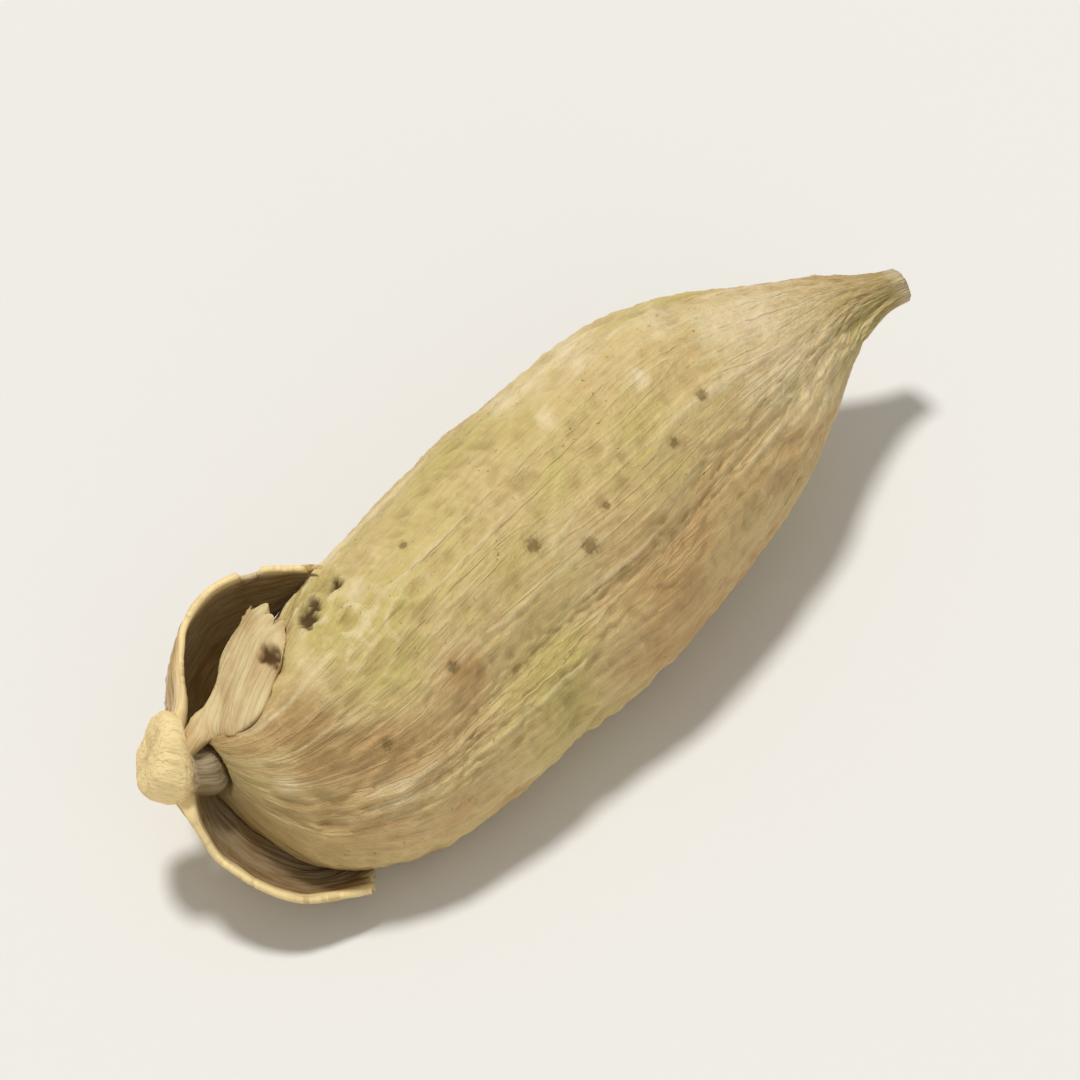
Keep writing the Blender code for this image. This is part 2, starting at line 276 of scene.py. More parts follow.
# What is left of the bract is three torn lobes. Each has a free rim, as points
# (along the pod, out towards BACK_UP, forward of that plane) in mm, and an edge that springs from
# such a point in the stub and then lies on the pod, as (point of OUTLINE, angle in degrees).
UPPER_RIM = (
    (-0.62, 0.46, 0.00),
    (0.24, 1.14, 0.00),
    (0.76, 1.90, 0.03),
    (1.30, 2.44, 0.06),
    (2.02, 2.74, 0.10),
    (2.84, 2.64, 0.15),
    (3.45, 2.20, 0.60),
    (3.88, 1.72, 1.38),
)
UPPER_ROOT = (-0.60, 0.30, -0.40)
UPPER_EDGE = ((0.2, -14), (1.2, -20), (2.4, -22), (3.3, -16), (4.0, 6), (4.5, 40))
FLAP_RIM = (
    (-0.55, 0.42, 0.28),
    (0.02, 0.80, 0.30),
    (0.85, 1.12, 0.28),
    (1.48, 1.54, 0.25),
    (2.32, 1.92, 0.20),
    (3.00, 2.02, 0.15),
)
FLAP_ROOT = (-0.70, 0.25, 0.52)
FLAP_EDGE = ((0.3, 82), (1.2, 87), (2.2, 84), (3.1, 70), (3.7, 54))
LOWER_RIM = (
    (-0.86, -0.05, 0.10),
    (-1.06, -0.90, 0.20),
    (-0.95, -1.75, 0.10),
    (-0.72, -2.50, 0.10),
    (-0.15, -3.20, 0.10),
    (0.75, -3.68, 0.05),
    (1.55, -4.02, 0.00),
)
LOWER_ROOT = (-0.55, -0.10, -0.45)
LOWER_EDGE = ((0.2, 286), (0.8, 264), (1.4, 247), (2.1, 235), (2.7, 227), (3.1, 221))
# Each lobe's name, rim, root and edge, how far it is cupped and how far its edge stands off the
# crests of the ribs in mm, and the seed of its tears. The sign of the cup gives its outer side.
LOBES = (
    ("bract_upper_lobe", UPPER_RIM, UPPER_ROOT, UPPER_EDGE, -0.40, -0.02, 1.7),
    ("bract_flap", FLAP_RIM, FLAP_ROOT, FLAP_EDGE, 0.06, -0.10, 5.3),
    ("bract_lower_lobe", LOWER_RIM, LOWER_ROOT, LOWER_EDGE, 0.22, -0.02, 9.1),
)
SKIN_LIKE = {"bract_flap": 0.85}  # how much of a lobe is stuck to the pod and takes its colours
CUP_POWER = 0.75  # the lower, the sooner a lobe's cup deepens from its two ends
SHORT_WAY = 0.03  # the share of a span over which a curve's direction is taken
LOBE_ROWS_PER_SPAN = 22
LOBE_COLUMNS = 28
LOBE_WAVES = ((0.08, (1.1, 1.4, 1), 0.0), (0.03, (0.5, 0.22, 1), 0.0))  # as STALK_ROUGHNESS
VEIN_SPACING_MM = 0.22
VEIN_WAVER = ((0.06, (0.5, 1, 0.7), 0.0),)
VEIN_HEIGHT = 0.020 * MM
VEIN_SHADE = 0.12  # how much darker the outer side is between its veins
TEAR_DEPTH_MM = 0.20  # of the notches in a lobe's rim
TEAR_MM = 0.7  # how long they are
TEAR_EDGES = (0.1, 0.6)  # the noise from which and at which a notch is cut
NICK_MM = 0.16  # how long the nicks between them are
NICK_SHARE = 0.3
UNTORN_ROOT = (0.1, 0.3)  # the shares of a lobe's length over which its tears set in
FRAY_MM = 0.55  # how unevenly a lobe is torn off at its free end
FRAY_MEAN = 0.6
FRAY_WIDTH = 0.22
FRAY_POWER = 8  # the higher, the shorter the frayed end
ROOT_GAIN = 1.5  # how much thicker a lobe is at its root, as a share
ROOT_END = 0.22
EDGE_THINNING = 0.55  # how much thinner it is at its rim and its edge, as a share
THINNING_POWER = 3
BARE_RIM_MM = (0.24, 0.04)  # how far from the rim the bare, torn tissue shows
BARE_END = (0.96, 1.0)
BARE_ROOT = (0.14, 0.06)
SKIN_CALM = 0.6  # how much less of its veins and torn rim shows where a lobe is stuck to the pod
INNER_SHADE = 0.55  # painted shade inside a lobe's cup: how much darker and browner it is there
# painted shade inside a lobe's cup, laid on with the colour between the fibres
INNER_PAINTED_SHADE = 0.5
INNER_VEIN_SHADE = 0.1
SHADE_FROM_MM = (0.0, 0.3)  # how far from the rim that shade sets in

# Patterns in the finishes: (width across the fibres, length along them) in mm, detail, roughness
PATCHES = ((2.2, 3.0), 4.0, 0.55)
FIBRE_LINES = ((0.085, 1.1), 3.0, 0.6)
MOTTLE = ((0.30, 0.36), 4.0, 0.65)
STRANDS = ((0.34, 3.4), 1.0, 0.4)
FLECKS = ((0.10, 0.12), 2.0, 0.5)
CLUSTERS = ((1.5, 2.0), 1.0, 0.5)
RAGGED = ((0.08, 0.08), 2.0, 0.5)
FINE_FIBRES = ((0.05, 0.4), 3.0, 0.6)
FINE_CREASES = ((0.15, 0.11), 3.0, 0.6)
STALK_FIBRES = ((0.06, 1.1), 3.0, 0.6)
STALK_PATCHES = ((0.6, 0.9), 3.0, 0.6)

# Coats of colour: (the mask where the coat begins, the mask where it is full, its strength there)
STRAW_COAT = (0.32, 0.50, 1.0)
TAN_COAT = (0.50, 0.70, 1.0)
BROWN_COAT = (0.70, 0.95, 1.0)
FIBRE_COAT = (0.48, 0.68, 0.30)
MOTTLE_COAT = (0.50, 0.68, 0.42)
CELL_COAT = (0.1, -1.4, 0.50)
VALLEY_COAT = (0.35, 0.0, 0.16)
TORN_AND_HIGHLIGHT_COAT = (1.2, 2.2, 0.80)
STRAND_COAT = (0.0, 1.0, 0.15)
HALO_COAT = (0.25, 0.60, 0.35)
FLECK_COAT = (0.0, 1.0, 0.70)
CREAM_COAT = (0.38, 0.56, 1.0)
SKIN_COAT = (0.36, 0.60, 1.0)
DIRT_COAT = (0.48, 0.68, 0.60)
SKIN_DIRT_COAT = (0.48, 0.68, 0.21)
GROOVE_COAT = (0.0, 1.0, 0.80)
WHOLE_COAT = (0.0, 1.0, 1.0)

# Masks: (from, to), and what it becomes there and there, if not 0 and 1
# The crest mark also carries the painted highlight along the pod's upper edge.
WORN_AND_HIGHLIGHT_CREST = (0.5, 1.0)
WORN_CELL = (0.4, 0.95)
WORN_MOTTLE = (0.35, 0.6, 0.75, 0.3)
STRAND_LINE = (0.045, 0.0)
FLECK_EDGE = (0.68, 0.73)
CLUSTER_EDGE = (0.46, 0.58)
RAGGED_EDGE = (0.3, 0.7, -0.15, 0.15)
SPECK_EDGE = (0.50, 0.72)
BARE_FIBRES = (0.68, 0.5, 0.5, 0.95)
HUSK_GLOSS = (0.3, 0.7, 0.44, 0.62)

TINT_STRENGTH = 0.16  # how far a tint of 1 moves the ground's colour
PLANT_IOR = 1.45
FINE_FIBRE_SHARE = 0.5  # how much each counts for in the husk's bump, which is HUSK_BUMP high
FINE_CREASE_SHARE = 0.6
STRAND_SHARE = 0.22
HUSK_BUMP = 0.06 * MM
STALK_BUMP = 0.07 * MM

# The studio
KEY_DIRECTION = Vector((-0.02, 0.26, 0.95))
KEY_ANGLE = math.radians(10)
FILL_DIRECTION = Vector((-0.35, -0.80, 0.50))
FILL_ANGLE = math.radians(60)
FLOOR_RADIUS = 1.5
FLOOR_SIDES = 96
FRAME_FILL = 0.70  # share of the picture's side that the pod's long side fills


def linear(code):
    """The linear colour of an sRGB hex code, with its alpha."""
    numbers = [int(code[i : i + 2], 16) / 255 for i in (1, 3, 5)]
    return (*(n / 12.92 if n <= 0.04045 else ((n + 0.055) / 1.055) ** 2.4 for n in numbers), 1.0)


def across(angle):
    """The unit direction across the pod at this angle."""
    return Vector((0, math.cos(angle), math.sin(angle)))


def place(along, out, forward=0.0):
    """A point given along the pod, out towards BACK_UP, and forward of that plane."""
    return Vector((along, 0, 0)) + out * across(BACK_UP) + forward * across(BACK_UP + math.pi / 2)


def in_view(point):
    """The place in mm, as (along, out, forward), as seen slantwise from the front."""
    out, forward = (point.dot(across(BACK_UP + turn)) / MM for turn in (0, math.pi / 2))
    return point.x / MM + VIEW_SLANT * forward, out, forward


def spline(before, first, second, after, part):
    """The Catmull-Rom curve from the first number to the second."""
    bend = 2 * before - 5 * first + 4 * second - after
    twist = 3 * first - before - 3 * second + after
    return first + 0.5 * part * (second - before + part * (bend + part * twist))


def curve_at(points, t):
    """The smooth curve through the points, t counting them from 0."""
    last = len(points) - 1
    start = min(int(t), last - 1)
    near = [points[min(max(start + step, 0), last)] for step in (-1, 0, 1, 2)]
    return [spline(*numbers, t - start) for numbers in zip(*near)]


def ease(low, high, value):
    """0 up to low, 1 from high on, and a smooth rise between them."""
    share = min(max((value - low) / (high - low), 0.0), 1.0)
    return share * share * (3 - 2 * share)


def ripple(spot, widths, seed=0.0):
    """Smooth noise from -1 to 1 whose lumps have these widths along x, y and z."""
    return noise.noise(Vector([s / w + seed for s, w in zip(spot, widths)]))


def grain_ripple(grain, sizes, seed):
    """Noise on the husk's grain, its lumps this wide across the fibres and this long on them."""
    wide, long = sizes
    return ripple(grain, (wide, wide, long), seed)


def patch_at(grain, sizes, seed, low, high):
    """1 within the patches of the husk, 0 outside them."""
    return ease(low, high, grain_ripple(grain, sizes, seed))


def layered(spot, layers):
    """The sum of layers of noise, (height, widths, seed) each."""
    return sum(height * ripple(spot, widths, seed) for height, widths, seed in layers)


def at_least(least, share):
    """The share, drawn in so that it runs from the least to 1."""
    return least + (1 - least) * share


def creases(grain, sizes, seed):
    """Sharp raised creases round shallow cells, from -1 in a cell to 1 on a crease."""
    return 1 - 4 * abs(grain_ripple(grain, sizes, seed))


def ring_middle(points):
    return sum(points, Vector()) / len(points)


def rib_angle(rib, share):
    """Where a rib's crest runs at this share of the length."""
    wave = math.sin(math.tau * (STRAY_WAVES * share + STRAY_PHASE * (rib % RIBS)))
    return CORNER_UP + RIB_SPACING * (rib + STRAY * wave)


def rib_height(rib, share):
    """A rib's height as a share of the highest."""
    wave = math.sin(math.tau * (RIB_WAVES * share + RIB_PHASE * (rib % RIBS)))
    gain = CORNER_RIB_GAIN if rib % RIBS_PER_SIDE == 0 else 1
    if rib % RIBS == KEEL_RIB:
        gain += KEEL_GAIN * bell(share - KEEL_MIDDLE, KEEL_HALF_LENGTH)
    return gain * (1 - RIB_UNEVENNESS + RIB_UNEVENNESS * wave)


def crest_radius(width_share, angle):
    """The radius over the ribs, a triangle with very blunt corners."""
    return width_share * POD_WIDTH / 2 * (1 + CORNER_SHARE * math.cos(3 * (angle - CORNER_UP)))


def seam_depth(share, angle):
    """How far the seam in the middle of each side sinks the husk."""
    from_seam = (angle - CORNER_UP + SIDE_ANGLE) % SIDE_ANGLE - SIDE_ANGLE / 2
    return SEAM_DEPTH * math.sin(math.pi * share) * math.exp(-((from_seam / SEAM_HALF_ANGLE) ** 2))


def bell(distance, half_width):
    return math.exp(-((distance / half_width) ** 2))


def ribbed(part, here, following):
    """The height of the husk between two ribs, part going from 0 at one to 1 at the other."""
    height = 0.0
    for rib, distance in ((here, part), (following, 1 - part)):
        swell = SWELL_SHARE * bell(distance, SWELL_HALF_WIDTH)
        height += rib * (swell + (1 - SWELL_SHARE) * bell(distance, NERVE_HALF_WIDTH))
    return height


def husk_column(column, share, grain):
    """The angle of a column of the husk at this share of the length, and its height."""
    rib, step = divmod(column, COLUMNS_PER_RIB)
    part = step / COLUMNS_PER_RIB
    start, end = rib_angle(rib, share), rib_angle(rib + 1, share)
    fade = at_least(FADED_NERVE, patch_at(grain, *STRONG_NERVES))
    strayed = part + NERVE_WAVER * grain_ripple(grain, *WAVER)
    height = fade * ribbed(abs(strayed), rib_height(rib, share), rib_height(rib + 1, share))
    sizes, seed, low, high = FINE_NERVE_STRETCHES
    for middle, half_width in FINE_NERVES:
        shows = patch_at(grain, sizes, seed, low, high)
        height += FINE_NERVE_HEIGHT * shows * bell(strayed - middle, half_width)
        seed += NEXT_NERVE_SEED
    return start + (end - start) * part, height


def pod_shift():
    """How far the pod's own frame, which starts at its base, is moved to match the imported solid."""
    points = []
    for step in range(2 * len(OUTLINE) - 1):
        share, width_share, drift = curve_at(OUTLINE, step / 2)
        middle = place(share * POD_LENGTH, drift * POD_WIDTH)
        depth = RIB_HEIGHT * math.sqrt(width_share)
        for rib in range(RIBS):
            angle = rib_angle(rib, share)
            radius = crest_radius(width_share, angle) - depth * (1 - rib_height(rib, share))
            points.append(middle + (radius - seam_depth(share, angle)) * across(angle))
    low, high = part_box("pod")
    middle_y = (min(p.y for p in points) + max(p.y for p in points)) / 2
    return Vector((low.x, (low.y + high.y) / 2 - middle_y, high.z - max(p.z for p in points)))


def profile_steps(count):
    """Values of t that cut the husk's profile into equal lengths, each with the length so far."""
    fine = [i / PROFILE_STEPS for i in range((len(OUTLINE) - 1) * PROFILE_STEPS + 1)]
    profile = []
    for t in fine:
        share, width_share, _ = curve_at(OUTLINE, t)
        profile.append(Vector((share * POD_LENGTH, width_share * POD_WIDTH / 2)))
    lengths = [0.0]
    for near, far in zip(profile, profile[1:]):
        lengths.append(lengths[-1] + (far - near).length)
    found, i = [], 0
    for step in range(count):
        wanted = lengths[-1] * step / (count - 1)
        while i < len(fine) - 2 and lengths[i + 1] < wanted:
            i += 1
        part = (wanted - lengths[i]) / (lengths[i + 1] - lengths[i])
        found.append((fine[i] + part * (fine[i + 1] - fine[i]), wanted))
    return found


def skin_relief(grain, share, settings):
    """How far the dried skin stands out at this spot of its grain, and how deep in a cell it is."""
    creased = patch_at(grain, *CREASED_SKIN)
    dents = grain_ripple(grain, *DENTS) + SMALL_DENT_SHARE * grain_ripple(grain, *SMALL_DENTS)
    crinkle = creases(grain, *CRINKLE) * at_least(SMOOTH_SKIN, creased)
    fine = creases(grain, *FINE_CRINKLE) * (1 - FINE_LOSS * creased)
    pucker = creases(grain, *PUCKER) * (1 - ease(*PUCKER_END, share))
    fibres = grain_ripple(grain, *FIBRES) + COARSE_FIBRE_SHARE * grain_ripple(grain, *COARSE_FIBRES)
    creasing = crinkle + FINE_CRINKLE_SHARE * fine + PUCKER_SHARE * pucker
    relief = settings.dent_depth * dents + settings.crinkle_height * creasing
    return relief + settings.fibre_height * fibres, (crinkle + fine) / 2


def pit_at(spot):
    """How far into one of the torn pits a spot seen in_view is, from 0 to 1."""
    along, out, forward = spot
    if forward < 0:
        return 0.0
    ragged = PIT_RAGGED * ripple(spot, *PIT_NOISE)
    return max(
        ease(*PIT_EDGE, math.hypot(along - x, out - y) / radius + ragged) for x, y, radius in PITS
    )


def edge_highlight_at(spot):
    """How strongly the painted highlight along the pod's upper side shows at a spot seen in_view, from
    0 to 1.
    """
    along, out, forward = spot
    if out < 0:
        return 0.0
    start, end, fade, width = EDGE_HIGHLIGHT
    width += EDGE_HIGHLIGHT_SOFTNESS * ripple(spot, *EDGE_HIGHLIGHT_NOISE)
    inside = ease(*EDGE_HIGHLIGHT_FROM, forward) * ease(width + EDGE_HIGHLIGHT_SOFTNESS, width - EDGE_HIGHLIGHT_SOFTNESS, forward)
    return inside * ease(start - fade, start, along) * ease(end + fade, end - fade, along)


def marks_at(spot):
    """The tint, the speck, the wear with the painted highlights, the dullness and the creasing at a
    spot seen in_view.
    """
    along, out, forward = spot
    if forward < HIDDEN:
        return 0.0, 0.0, 0.0, 0.0, 0.0

    def near(x, y, radius):
        return bell(math.hypot(along - x, out - y), radius)

    # The wear here includes the painted highlight along the pod's upper edge.
    tint, worn, dull = (
        sum(strength * near(x, y, radius) for x, y, radius, strength in spots)
        for spots in (BLUSHES, WORN_AND_HIGHLIGHT_SPOTS, DULL_SPOTS)
    )
    # The painted highlight along the upper side makes the skin paler there.
    worn += EDGE_HIGHLIGHT_GAIN * edge_highlight_at(spot)
    speck = max(1 - math.hypot(along - x, out - y) / (2 * radius) for x, y, radius in SPECKS)
    return tint, max(speck, 0.0), worn, dull, CREASED_GAIN * near(*CREASED_SPOT)


def husk_rings(settings):
    """The husk's rings of points, and the values of HUSK_RECORD at each point.

    The grain is a point in millimetres that follows the ribs from base to tip.
    """
    rings, records = [], []
    around = POD_WIDTH / 2 / MM
    for t, length in profile_steps(RINGS):
        share, width_share, drift = curve_at(OUTLINE, t)
        middle = place(share * POD_LENGTH, drift * POD_WIDTH)
        depth = math.sqrt(width_share)
        calm = at_least(CALM_ENDS, ease(0.0, CALM_BASE, share) * ease(1.0, CALM_TIP, share))
        frayed = FRAYED_WORN * ease(*FRAYED_TIP, share)
        ring = []
        for column in range(RIBS * COLUMNS_PER_RIB):
            turn = RIB_SPACING * column / COLUMNS_PER_RIB
            grain = Vector((around * math.cos(turn), around * math.sin(turn), length / MM))
            angle, height = husk_column(column, share, grain)
            relief, cell = skin_relief(grain, share, settings)
            radius = crest_radius(width_share, angle) - RIB_HEIGHT * depth * (1 - MEAN_HEIGHT)
            radius += settings.rib_height * depth * (height - MEAN_HEIGHT) - seam_depth(share, angle)
            spot = in_view(middle + radius * across(angle))
            # The wear carries the painted highlight along the upper edge too.
            tint, speck, worn, dull, creased = marks_at(spot)
            pit = pit_at(spot)
            radius += calm * (1 + creased) * relief - PIT_DEPTH * pit
            ring.append(middle + radius * across(angle))
            cell = (1 + creased) * cell - dull
            # The pit value also paints shade inside the torn holes.
            records.append((grain, height + worn + frayed, cell, tint, speck, pit))
        rings.append(ring)
    return rings, records


def closed_tube(name, rings, start, end, attributes):
    """A smooth closed mesh through the rings, with a point at each end.

    Attributes are (name, values): one number or vector for each ring point and for each end.
    """
    sides = len(rings[0])
    points = [tuple(p) for ring in rings for p in ring] + [tuple(start), tuple(end)]
    faces = []
    for r in range(len(rings) - 1):
        for i in range(sides):
            j = (i + 1) % sides
            faces.append((r * sides + i, r * sides + j, (r + 1) * sides + j, (r + 1) * sides + i))
    first, last, top = len(points) - 2, len(points) - 1, (len(rings) - 1) * sides
    for i in range(sides):
        j = (i + 1) % sides
        faces.append((j, i, first))
        faces.append((top + i, top + j, last))
    mesh = bpy.data.meshes.new(name)
    mesh.from_pydata(points, [], faces)
    for label, values in attributes:
        if isinstance(values[0], float):
            mesh.attributes.new(label, "FLOAT", "POINT").data.foreach_set("value", values)
        else:
            numbers = [number for value in values for number in value]
            mesh.attributes.new(label, "FLOAT_VECTOR", "POINT").data.foreach_set("vector", numbers)
    mesh.shade_smooth()
    return mesh


def named(names, records):
    """The columns of a list of records, each with its name."""
    return list(zip(names, zip(*records)))


def add_piece(name, mesh, material, node):
    """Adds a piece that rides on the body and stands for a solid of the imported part."""
    piece = bpy.data.objects.new(name, mesh)
    bpy.context.scene.collection.objects.link(piece)
    mesh.materials.append(material)
    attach(piece, BODY)
    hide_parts(node)
    return piece


def feed(tree, node, inputs):
    """Sets a node's inputs, each to a value, a socket, or a node that gives its first output."""
    for name, value in inputs.items():
        if isinstance(value, bpy.types.Node):
            value = value.outputs[0]
        if isinstance(value, bpy.types.NodeSocket):
            tree.links.new(value, node.inputs[name])
        else:
            node.inputs[name].default_value = value


def add_node(tree, kind, inputs, **settings):
    """Adds a node with its settings, and feeds its inputs, by name or by number."""
    node = tree.nodes.new(kind)
    for name, value in settings.items():
        setattr(node, name, value)
    feed(tree, node, inputs)
    return node


def new_material(name):
    """An empty material's tree and its surface shader."""
    material = bpy.data.materials.new(name)
    material.use_nodes = True
    return material, material.node_tree, material.node_tree.nodes["Principled BSDF"]


def recorded(tree, names):
    """The sockets of what the points record: the grain as a vector, the others as numbers."""
    marks = {}
    for name in names:
        outputs = add_node(tree, "ShaderNodeAttribute", {}, attribute_name=name).outputs
        marks[name] = outputs["Vector" if name == "grain" else "Fac"]
    return marks


def pattern(tree, grain, size_mm, detail, roughness):
    """Noise on the grain, its lumps as wide across the fibres and as long on them as size_mm."""
    wide, long = size_mm
    scale = (1 / wide, 1 / wide, 1 / long)
    scaled = add_node(tree, "ShaderNodeVectorMath", {0: grain, 1: scale}, operation="MULTIPLY")
    inputs = {"Vector": scaled, "Scale": 1.0, "Detail": detail, "Roughness": roughness}
    return add_node(tree, "ShaderNodeTexNoise", inputs)


def masks(tree, sources):
    """Each source stretched by its mask, (source, mask) each."""
    kind = "ShaderNodeMapRange"
    return [add_node(tree, kind, dict(enumerate((source, *mask)))) for source, mask in sources]


def coats(tree, colour, layers):
    """The colour under coats of others, (other colour, what it follows, coat) each."""
    for above, source, (start, full, strength) in layers:
        (share,) = masks(tree, [(source, (start, full, 0.0, strength))])
        inputs = {0: share, 6: colour, 7: above}  # the numbers of the sockets that mix colours
        colour = add_node(tree, "ShaderNodeMix", inputs, data_type="RGBA").outputs[2]
    return colour


def joined(tree, operation, first, *others):
    """Sources joined by one operation after the other."""
    for other in others:
        first = add_node(tree, "ShaderNodeMath", {0: first, 1: other}, operation=operation)
    return first


def husk_flecks(tree, marks, colour, settings):
    """Small flecks in clusters, and the larger specks with their ragged edges and pale halos."""
    noises = [pattern(tree, marks["grain"], *kind) for kind in (FLECKS, CLUSTERS, RAGGED)]
    flecks, clusters, ragged = masks(tree, zip(noises, (FLECK_EDGE, CLUSTER_EDGE, RAGGED_EDGE)))
    speck = joined(tree, "ADD", marks["speck"], ragged)
    (core,) = masks(tree, [(speck, SPECK_EDGE)])
    dark = joined(tree, "MAXIMUM", joined(tree, "MULTIPLY", flecks, clusters), core)
    layers = [
        (settings.valley_colour, speck, HALO_COAT),
        (settings.fleck_colour, dark, FLECK_COAT),
    ]
    return coats(tree, colour, layers)


def husk_material(settings):
    """Dried cardamom husk: a papery skin of parallel fibres, shrunk over its nerves as it dried.

    The eye sees pale crests where the ribs wore, darker and greener hollows, warm patches where it
    dried in the sun, and scattered brown flecks. It has the faint waxy gloss of a dry leaf. A painted
    highlight runs along its upper edge, and painted shade lies inside its torn holes.
    """
    material, tree, shader = new_material("dried cardamom husk")
    marks = recorded(tree, HUSK_RECORD)
    crest, cell = marks["crest"], marks["cell"]
    patches, fibres, mottle, strands, fine, crinkle = (
        pattern(tree, marks["grain"], *kind)
        for kind in (PATCHES, FIBRE_LINES, MOTTLE, STRANDS, FINE_FIBRES, FINE_CREASES)
    )
    tint = joined(tree, "MULTIPLY", marks["tint"], TINT_STRENGTH)
    ground = joined(tree, "ADD", patches, tint)
    middle = joined(tree, "SUBTRACT", strands, 0.5)
    off_line = add_node(tree, "ShaderNodeMath", {0: middle}, operation="ABSOLUTE")
    worn_and_highlight_crest, worn_cell, uneven, strands, gloss = masks(
        tree,
        [
            (crest, WORN_AND_HIGHLIGHT_CREST),
            (cell, WORN_CELL),
            (mottle, WORN_MOTTLE),
            (off_line, STRAND_LINE),
            (fibres, HUSK_GLOSS),
        ],
    )
    # Pale where the crests and creases are worn, and where the highlight along the upper edge is
    # painted.
    worn = joined(tree, "MULTIPLY", joined(tree, "MAXIMUM", worn_and_highlight_crest, worn_cell), uneven)
    layers = [
        (settings.straw_colour, ground, STRAW_COAT),
        (settings.tan_colour, ground, TAN_COAT),
        (settings.brown_colour, ground, BROWN_COAT),
        (settings.fibre_colour, fibres, FIBRE_COAT),
        (settings.tan_colour, mottle, MOTTLE_COAT),
        (settings.valley_colour, cell, CELL_COAT),
        (settings.valley_colour, crest, VALLEY_COAT),
        (settings.crest_and_highlight_colour, worn, WHOLE_COAT),
        # The torn colour also paints the highlight along the pod's upper side.
        (settings.torn_and_highlight_colour, crest, TORN_AND_HIGHLIGHT_COAT),
        (settings.crest_and_highlight_colour, strands, STRAND_COAT),
    ]
    colour = coats(tree, settings.green_colour, layers)
    colour = husk_flecks(tree, marks, colour, settings)
    # Painted shade inside the torn holes.
    colour = coats(tree, colour, [(settings.painted_shade_colour, marks["deep"], WHOLE_COAT)])
    heights = [(fine, FINE_FIBRE_SHARE), (crinkle, FINE_CREASE_SHARE), (strands, STRAND_SHARE)]
    height = joined(tree, "ADD", *(joined(tree, "MULTIPLY", *pair) for pair in heights))
    bump = {"Height": height, "Strength": 1.0, "Distance": HUSK_BUMP}
    inputs = {
        "Base Color": colour,
        "Roughness": gloss,
        "IOR": PLANT_IOR,
        "Specular IOR Level": 0.45,
        "Normal": add_node(tree, "ShaderNodeBump", bump),
    }
    feed(tree, shader, inputs)
    return material


def stalk_material(settings):
    """Dried stalk and bract: coarse, paler fibres that broke off short, with dirt between them."""
    material, tree, shader = new_material("dried stalk fibre")
    marks = recorded(tree, STALK_RECORD)
    fibres = pattern(tree, marks["grain"], *STALK_FIBRES)
    patches = pattern(tree, marks["grain"], *STALK_PATCHES)
    (bare_fibres,) = masks(tree, [(fibres, BARE_FIBRES)])
    bare = joined(tree, "MULTIPLY", marks["bare"], bare_fibres)
    skin = [
        (settings.skin_colour, patches, SKIN_COAT),
        (settings.dirt_and_shade_colour, fibres, SKIN_DIRT_COAT),
    ]
    layers = [
        (settings.cream_colour, patches, CREAM_COAT),
        (settings.dirt_and_shade_colour, fibres, DIRT_COAT),
        # Darker in the grooves between the fibres and in the pith, and painted shade inside the lobes'
        # cups.
        (settings.dirt_and_shade_colour, marks["hollow"], GROOVE_COAT),
        (settings.bare_colour, bare, WHOLE_COAT),
        (coats(tree, settings.shade_colour, skin), marks["skin"], WHOLE_COAT),
        # Painted shade: inside the torn holes, round the stalk's neck and inside the lobes' cups.
        (settings.painted_shade_colour, marks["deep"], WHOLE_COAT),
    ]
    bump = {"Height": fibres, "Strength": 0.9, "Distance": STALK_BUMP}
    inputs = {
        "Base Color": coats(tree, settings.shade_colour, layers),
        "Roughness": 0.7,
        "IOR": PLANT_IOR,
        "Specular IOR Level": 0.35,
        "Normal": add_node(tree, "ShaderNodeBump", bump),
    }
    feed(tree, shader, inputs)
    return material


def floor_material(colour):
    """Matt studio paper: an even pale sheet with no grain that shows at this size."""
    material, tree, shader = new_material("matt studio paper")
    feed(tree, shader, {"Base Color": colour, "Roughness": 0.9, "Specular IOR Level": 0.1})
    return material


def shrink_rings(ring, steps, inwards):
    """Smaller copies of a ring, (share of its radius, depth in mm) each."""
    middle = ring_middle(ring)
    return [
        [middle.lerp(point, share) + depth * MM * inwards for point in ring] for share, depth in steps
    ]


def make_husk(settings):
    rings, records = husk_rings(settings)
    sides = len(rings[0])
    seat = shrink_rings(rings[0], SEAT_RINGS, Vector((1, 0, 0)))[::-1]
    scar = shrink_rings(rings[-1], SCAR_RINGS, Vector((-1, 0, 0)))
    start = ring_middle(rings[0]) + Vector((SEAT_DEPTH, 0, 0))
    end = ring_middle(rings[-1]) - Vector((SCAR_DEPTH, 0, 0))
    records = records[:sides] * len(seat) + records + records[-sides:] * len(scar)
    records += [records[0], records[-1]]
    mesh = closed_tube("pod_husk", seat + rings + scar, start, end, named(HUSK_RECORD, records))
    shift = pod_shift()
    for vertex in mesh.vertices:
        vertex.co += shift
        vertex.co.z = max(vertex.co.z, 0)
    return add_piece("pod_husk", mesh, husk_material(settings), "pod")


